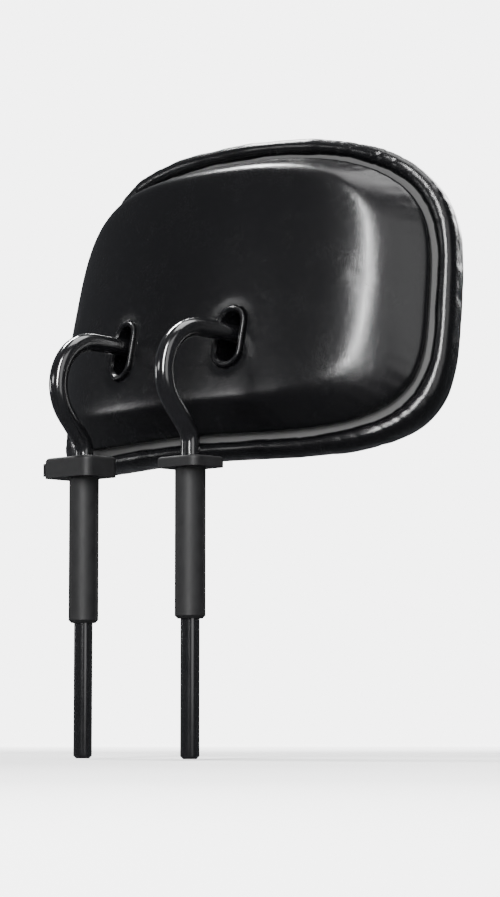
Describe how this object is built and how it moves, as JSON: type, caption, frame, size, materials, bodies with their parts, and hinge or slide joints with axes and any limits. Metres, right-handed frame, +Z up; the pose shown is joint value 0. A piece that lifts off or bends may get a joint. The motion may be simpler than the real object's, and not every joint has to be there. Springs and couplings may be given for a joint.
{
  "type": "chair headrest",
  "caption": "Padded chair headrest on two swan-necked posts in guide sleeves, with stepped height and friction tilt.",
  "frame": {"origin": "midway between the two posts, on the seat plane under the guide heads (the top of the chair back)", "axes": "+Z up along the posts, the sitter faces -Y so the pad's leather front faces -Y, +X is the sitter's left"},
  "size_m": [0.287, 0.1454, 0.3326],
  "materials": {
    "leather": "black coated leather, fine grain, soft sheen",
    "foam": "moulded charcoal polyurethane foam",
    "black_steel": "gloss black over 10 mm round bar",
    "gloss_plastic": "gloss black",
    "guide_plastic": "fine matt black",
    "nylon": "natural nylon",
    "plywood": "moulded birch plywood, stained black",
    "zinc_steel": "zinc plated",
    "spring_wire": "oiled spring wire"
  },
  "bodies": {
    "guides": {"guide_sleeve_left": "guide_plastic", "guide_sleeve_right": "guide_plastic"},
    "release": {"release_button": "gloss_plastic", "lock_wire": "spring_wire"},
    "posts": {"post_bar": "black_steel"},
    "pad": {"inner_board": "plywood", "t_nuts": "zinc_steel", "clamp_base_right": "guide_plastic", "clamp_base_left": "guide_plastic", "clamp_cap_right": "guide_plastic", "clamp_cap_left": "guide_plastic", "clamp_screws": "zinc_steel", "pivot_bush_right": "nylon", "pivot_bush_left": "nylon", "foam_core": "foam", "front_cover": "leather", "cover_staples": "zinc_steel", "back_shell": "guide_plastic", "panel_clips": "nylon", "panel_staples": "zinc_steel", "back_foam": "foam", "back_cover": "leather", "slot_bezel_right": "gloss_plastic", "slot_bezel_left": "gloss_plastic"}
  },
  "joints": [
    {"name": "height", "type": "slide", "parent": "guides", "child": "posts", "axis": [0, 0, 1], "range_m": [0, 0.06]},
    {"name": "tilt", "type": "hinge", "parent": "posts", "child": "pad", "pos_m": [0, -0.065, 0.07196], "axis": [1, 0, 0], "range_deg": [-10, 14]},
    {"name": "latch_release", "type": "slide", "parent": "guides", "child": "release", "axis": [-1, 0, 0], "range_m": [0, 0.003], "stiffness_N_per_m": 800, "springref_m": -0.002}
  ]
}
